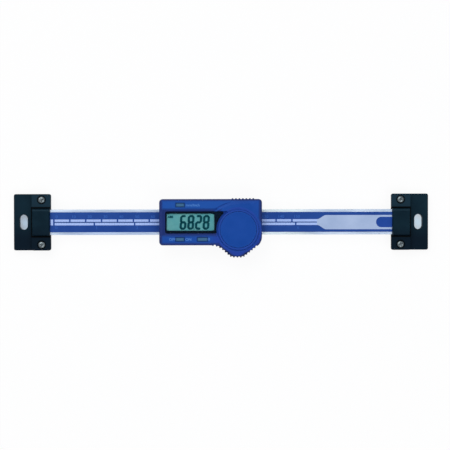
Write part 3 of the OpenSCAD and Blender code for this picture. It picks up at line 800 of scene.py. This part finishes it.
def lettering(name, words, body, material, weight=0.0):
    """One mesh from (text, x, y, z, height, alignment, stretch) rows, in millimetres. Each row's points are
    p * (stretch, 1, 1) + (x, y, z + INK / 2)."""
    points, faces, base = [], [], 0
    for text, x, y, z, height, align, stretch in words:
        mesh = letter_mesh(text, height, align, weight)
        count = len(mesh.vertices)
        flat = np.empty(count * 3)
        mesh.vertices.foreach_get("co", flat)
        points.append(flat.reshape(-1, 3) * (stretch, 1, 1) + (x, y, z + INK / 2))
        faces += [(base + np.array(polygon.vertices)).tolist() for polygon in mesh.polygons]
        base += count
        bpy.data.meshes.remove(mesh)
    mesh_object(name, np.vstack(points), faces, body, material)


print("letter size is height /", CAP_HEIGHT)

# %% [markdown]
# The numbers stand to the right of their tick, faint against the label: tens of millimetres along the
# far edge, inches along the near edge. The font is a little narrower than the real print, so the
# letters are stretched by a tenth.

# %% Numbers along the label
NUMBER = (label_z, 1.8, "LEFT", 1.1)  # level, height, alignment and stretch
millimetres = [(str(10 * k), zero_x + 10 * k + 1.0, 2.65, *NUMBER) for k in range(16)]
inches = [(str(k), zero_x + INCH * k + 0.8, -4.3, *NUMBER) for k in range(7)]
lettering("graduation_numbers", millimetres + inches, "scale", ink_faint)
print("numbers:", len(millimetres) + len(inches))

# %% [markdown]
# ## The display
#
# A reflective liquid crystal shows dark figures on a grey-green ground. Each figure is made of seven
# bars with pointed ends, and the whole figure leans four degrees: every point moves right by the
# tangent of that angle times its height. A text in a segment font would need that font, while seven
# bars are quickly drawn from their end points.

# %% Seven-segment figures
SEGMENTS = {"a": ((0, 1), (1, 1)), "b": ((1, 0.5), (1, 1)), "c": ((1, 0), (1, 0.5)), "d": ((0, 0), (1, 0)),
            "e": ((0, 0), (0, 0.5)), "f": ((0, 0.5), (0, 1)), "g": ((0, 0.5), (1, 0.5))}
SHOWN = {"6": "acdefg", "8": "abcdefg", "2": "abdeg"}
FIGURE_SIZE = (2.8, 7.8)
BAR_WIDTH = 1.5
OVERLAP = 0.2  # a bar runs on this far past its end point, into its neighbour
LEAN = math.tan(math.radians(4))


def bar(p, q):
    """A bar from p to q with pointed ends: six points, at each end and half a width before it."""
    p, q = np.array(p, float), np.array(q, float)
    along = (q - p) / np.linalg.norm(q - p)
    across = np.array([-along[1], along[0]])
    p, q, h = p - along * OVERLAP, q + along * OVERLAP, BAR_WIDTH / 2
    return np.array([p, p + (along - across) * h, q - (along + across) * h, q, q - (along - across) * h,
                     p + (along + across) * h])


def figure(digit, x, y):
    """The bars of one figure, with its lower left corner at (x, y): x grows by LEAN * y."""
    loops = []
    for key in SHOWN[digit]:
        loop = bar(*(np.array(end) * FIGURE_SIZE for end in SEGMENTS[key]))
        loop[:, 0] += loop[:, 1] * LEAN
        loops.append(loop + (x, y))
    return loops


print("a bar has", len(bar((0, 0), (1, 0))), "corners")

# %% [markdown]
# The display reads 68.28, with a decimal point of its own low between the second and third figure, and
# a small mark at the upper left. The figures and the mark are printed slabs on the glass, because a
# liquid crystal also lies flat and has no relief.

# %% The reading and its mark
PITCH = 4.81  # from one figure to the next
first_x, base_y, display_z = slider_x + 13.35, -4.0, glass_high[2]
DOT_BACK, DOT_HALF = 1.12, 0.34  # the point's place before the third figure, and half its width
dot_x = first_x + 2 * PITCH - DOT_BACK
loops = [loop for k, digit in enumerate("6828") for loop in figure(digit, first_x + k * PITCH, base_y)]
loops.append(rectangle(dot_x - DOT_HALF, base_y - 0.6, dot_x + DOT_HALF, base_y + 0.1))
mesh_object("display_figures", *slabs(loops, display_z, display_z + INK), "slider", segment_dark)
lettering("display_mark", [("ABS", slider_x + 5.4, 2.7, display_z, 1.4, "LEFT", 1.0)], "slider",
          segment_dark, 0.14)
print("segments:", len(loops))

# %% [markdown]
# ## The window
#
# The window is a clear pane whose underside is printed black around the display. One mesh with two
# materials could stand for it, but print and pane lie at different depths, so two pieces together
# replace the CAD window. Both have the same outline, which the battery boss cuts with a circle at the
# right, and the print has a rounded opening.

# %% The pane's outline
BOSS_R = 13.75  # the circle in which the boss cuts the pane
PANE_CORNER = 0.8


def window_loop(n=20):
    """The pane's outline: rounded corners at the left, a sharp upper right corner, and the boss's circle
    between the pane's upper and lower edges at the right. A chord at a distance d from the circle's middle
    meets it at sqrt(BOSS_R^2 - d^2) to either side."""
    x0, y0, y1, r = window_low[0], window_low[1], window_high[1], PANE_CORNER
    right = window_high[0]
    low = math.degrees(math.atan2(y0 - boss_y, -math.sqrt(BOSS_R**2 - (y0 - boss_y) ** 2))) % 360
    high = math.degrees(math.atan2(math.sqrt(BOSS_R**2 - (right - boss_x) ** 2), right - boss_x)) % 360
    return np.vstack([arc(x0 + r, y0 + r, r, 180, 270, 6), arc(boss_x, boss_y, BOSS_R, low, high, n),
                      [[right, y1]], arc(x0 + r, y1 - r, r, 90, 180, 6)])


pane = window_loop()
print("pane points", len(pane), "x", pane[:, 0].min().round(2), pane[:, 0].max().round(2))

# %% [markdown]
# The print is a flat ring: the pane's outline outside, the opening inside. A Boolean modifier could cut
# the opening, but it leaves long thin triangles. Here both loops are sampled at the same angles, so the
# ring is made of even quads.

# %% The black print as a ring


def leaving(loop, centre, rays):
    """Where each ray from the centre leaves the loop. A ray d meets the edge from a to a + e, seen from the
    centre, at t = (a x e) / (d x e) along the ray and s = (a x d) / (d x e) along the edge, where x is the
    cross product; t has to be positive and s between 0 and 1, and the smallest such t counts."""
    a = loop - centre
    e = np.roll(a, -1, axis=0) - a
    cross = rays[:, None, 0] * e[None, :, 1] - rays[:, None, 1] * e[None, :, 0]
    cross = np.where(abs(cross) < 1e-12, 1e-12, cross)
    t = (a[None, :, 0] * e[None, :, 1] - a[None, :, 1] * e[None, :, 0]) / cross
    s = (a[None, :, 0] * rays[:, None, 1] - a[None, :, 1] * rays[:, None, 0]) / cross
    good = (t > 0) & (s >= -1e-9) & (s <= 1 + 1e-9)
    return centre + rays * np.where(good, t, np.inf).min(axis=1)[:, None]


def ring_slab(outer, hole, centre, z0, z1, n=96):
    """A flat ring between an outer loop and a hole. Both are sampled at the same n angles about the centre,
    so that ring k joins ring k + 1; four rings make the outer wall, the top, the inner wall and the
    bottom."""
    angle = np.linspace(0, 2 * math.pi, n, endpoint=False)
    rays = np.column_stack([np.cos(angle), np.sin(angle)])
    wide, inner = leaving(outer, centre, rays), leaving(hole, centre, rays)
    rings = [np.column_stack([ring, np.full(n, z)])
             for ring, z in ((wide, z0), (wide, z1), (inner, z1), (inner, z0))]
    i = np.arange(n)
    j = (i + 1) % n
    joins = [(k * n, (k + 1) % 4 * n) for k in range(4)]
    faces = np.vstack([np.column_stack([a + i, a + j, b + j, b + i]) for a, b in joins])
    return np.vstack(rings), faces.tolist()


to_the_right = np.array([[1.0, 0.0]])
print("a ray to the right leaves the pane at", leaving(pane, pane.mean(axis=0), to_the_right).round(2))

# %% [markdown]
# The print lies at the bottom of the CAD window and the pane over it, with a little air between them so
# that their faces don't flicker into one another. Both together stand for the CAD window, which is hidden.

# %% Print and pane
OPENING = (slider_x + 4.65, -5.35, slider_x + 34.5, 5.35)
OPENING_CORNER = 0.3
PRINT, AIR = 0.05, 0.01  # thickness of the print, and the gap over it
opening_middle = np.array([(OPENING[0] + OPENING[2]) / 2, (OPENING[1] + OPENING[3]) / 2])
print_z = window_low[2]
ring = ring_slab(pane, rounded(*OPENING, OPENING_CORNER), opening_middle, print_z, print_z + PRINT)
surround = mesh_object("window_surround", *ring, "slider", surround_black)
window_pane = mesh_object("window_pane", *slabs([pane], print_z + PRINT + AIR, window_high[2]), "slider",
                          pane_clear)
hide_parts("display_window")
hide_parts("display_window")
print("opening", round(OPENING[2] - OPENING[0], 2), "by", round(OPENING[3] - OPENING[1], 2), "mm")

# %% [markdown]
# ## Legends of the keys
#
# Plain words in pale ink tell what the keys do: the unit, off and on, and zero. They are printed on the
# housing's face, a little fatter than the numbers, so they use the same letters with some weight.

# %% Key legends
FACE_Z = 16.2
LEGEND_WEIGHT = 0.07
LEGEND_RISE = 0.9  # from a key's lowest edge to the foot of its legend
unit_y, lower_y = (box_mm(node)[0][1] + LEGEND_RISE for node in ("unit_key", "power_key"))
legends = [("mm/inch", slider_x + 16.6, unit_y, FACE_Z, 1.6, "LEFT", 1.15),
           ("OFF", slider_x + 10.15, lower_y, FACE_Z, 1.6, "RIGHT", 1.0),
           ("ON", slider_x + 16.3, lower_y, FACE_Z, 1.6, "LEFT", 1.1),
           ("0", slider_x + 30.5, lower_y, FACE_Z, 1.8, "LEFT", 1.0)]
lettering("key_legends", legends, "slider", ink_pale, LEGEND_WEIGHT)
print("legends:", len(legends))

# %% [markdown]
# ## The floor
#
# The unit lies on a pale, plain ground. Some of the floor's white is its own, seen by the camera and in
# mirrors and glass, so that the shadow on it stays faint. Under the brackets it is bluer and keeps its
# shade, so that the slots look down on a darker ground. A shadow catcher would also give a white
# ground, but no tint under the slots.

# %% Floor
SIDE = 3.0  # half the floor's side, in metres
GLOW = 0.91  # how much of the open floor's white is its own
COVERED_GLOW = 0.64  # how much less it is under a bracket
INSET = 2  # the darker ground starts this far inside a bracket's edge
corners = np.column_stack([rectangle(-SIDE, -SIDE, SIDE, SIDE), np.zeros(4)])
floor_mesh = bpy.data.meshes.new("floor")
floor_mesh.from_pydata(corners.tolist(), [], [(0, 1, 2, 3)])
floor = bpy.data.objects.new("floor", floor_mesh)
bpy.context.scene.collection.objects.link(floor)

floor_paint = bpy.data.materials.new("floor")
floor_paint.use_nodes = True
floor_mesh.materials.append(floor_paint)
tree = floor_paint.node_tree
base = tree.nodes["Principled BSDF"]
base.inputs["Base Color"].default_value = (1, 1, 1, 1)
base.inputs["Roughness"].default_value = 1.0
base.inputs["Specular IOR Level"].default_value = 0.0
covered = []
for node, darkness, tint in (("left_base", 1.0, (0.42, 0.72, 1.0)), ("right_base", 0.64, (0.05, 0.6, 1.0))):
    (x0, y0, _), (x1, y1, _) = box_mm(node)
    under = in_rectangle(tree, x0 + INSET, y0 + INSET, x1 - INSET, y1 - INSET, 1.0)
    covered.append(math_node(tree, "MULTIPLY", under, darkness))
    shade_where(floor_paint, under, tint)
path = tree.nodes.new("ShaderNodeLightPath")
seen = math_node(tree, "MAXIMUM", path.outputs["Is Camera Ray"], path.outputs["Is Glossy Ray"])
seen = math_node(tree, "MAXIMUM", seen, path.outputs["Is Transmission Ray"])
own = math_node(tree, "MULTIPLY_ADD", math_node(tree, "MAXIMUM", *covered), -COVERED_GLOW, GLOW)
mix = tree.nodes.new("ShaderNodeMixShader")
feed(tree, mix.inputs["Fac"], math_node(tree, "MULTIPLY", seen, own))
feed(tree, mix.inputs[1], base.outputs["BSDF"])
feed(tree, mix.inputs[2], tree.nodes.new("ShaderNodeEmission").outputs["Emission"])
feed(tree, tree.nodes["Material Output"].inputs["Surface"], mix.outputs["Shader"])
print("floor is", 2 * SIDE, "m wide")

# %% [markdown]
# ## The light
#
# A product like this is lit in a tent: the light comes softly from everywhere above. The two lamps are
# large and hang high, one stronger than the other, so that shadows have a direction but no hard edge.
# Sun or spot lamps would leave sharp shadows and small, glaring highlights.

# %% Lamps


def softbox(name, place, aim, width, height, watts):
    """A rectangular area lamp at place, turned so that it shines towards aim."""
    data = bpy.data.lights.new(name, "AREA")
    data.shape, data.size, data.size_y, data.energy = "RECTANGLE", width, height, watts
    lamp = bpy.data.objects.new(name, data)
    lamp.location = place
    lamp.rotation_euler = (Vector(aim) - Vector(place)).to_track_quat("-Z", "Y").to_euler()
    bpy.context.scene.collection.objects.link(lamp)
    print(name, "gives", watts, "W")


target = (middle_x * MM, 0, 0)
softbox("key softbox", (-0.35, 0.7, 1.25), target, 1.1, 0.7, 7)
softbox("fill softbox", (0.6, -0.7, 1.25), target, 1.1, 0.7, 4)

# %% [markdown]
# The sky does most of the lighting. It is bright high up and dark towards the horizon, as the square of
# the height, so that edges and slopes turn dark against the faces beside them. It has a dark hole
# straight overhead, as the opening of a light tent has, so that flat faces don't mirror white. An image
# of a studio could do the same, but a few nodes can be read and changed. The camera sees a white
# backdrop in its place, and so do mirrors near the horizon.

# %% Sky
HOLE = (0.93, 0.985, 1.0, 0.03)  # full light below a height of 0.93, nearly none above 0.985
NEAR_HORIZON = (0.3, 0.1, 0.0, 1.0)
world = bpy.data.worlds.new("sky")
world.use_nodes = True
tree = world.node_tree
direction = tree.nodes.new("ShaderNodeSeparateXYZ")
feed(tree, direction.inputs["Vector"], tree.nodes.new("ShaderNodeTexCoord").outputs["Generated"])
height = math_node(tree, "ABSOLUTE", direction.outputs["Z"])
bright = math_node(tree, "MULTIPLY", math_node(tree, "MULTIPLY", height, height),
                   map_range(tree, height, HOLE, "SMOOTHSTEP"))
shade = colour_between(tree, bright, (0.05, 0.045, 0.06, 1), (1.2, 1.23, 1.3, 1))
path = tree.nodes.new("ShaderNodeLightPath")
mirrored = math_node(tree, "MULTIPLY", path.outputs["Is Glossy Ray"], map_range(tree, height, NEAR_HORIZON))
seen = math_node(tree, "MAXIMUM", path.outputs["Is Camera Ray"], path.outputs["Is Transmission Ray"])
backdrop = colour_between(tree, math_node(tree, "MAXIMUM", seen, mirrored), shade, (1, 1, 1, 1))
feed(tree, tree.nodes["Background"].inputs["Color"], backdrop)
bpy.context.scene.world = world
print("sky has", len(tree.nodes), "nodes")
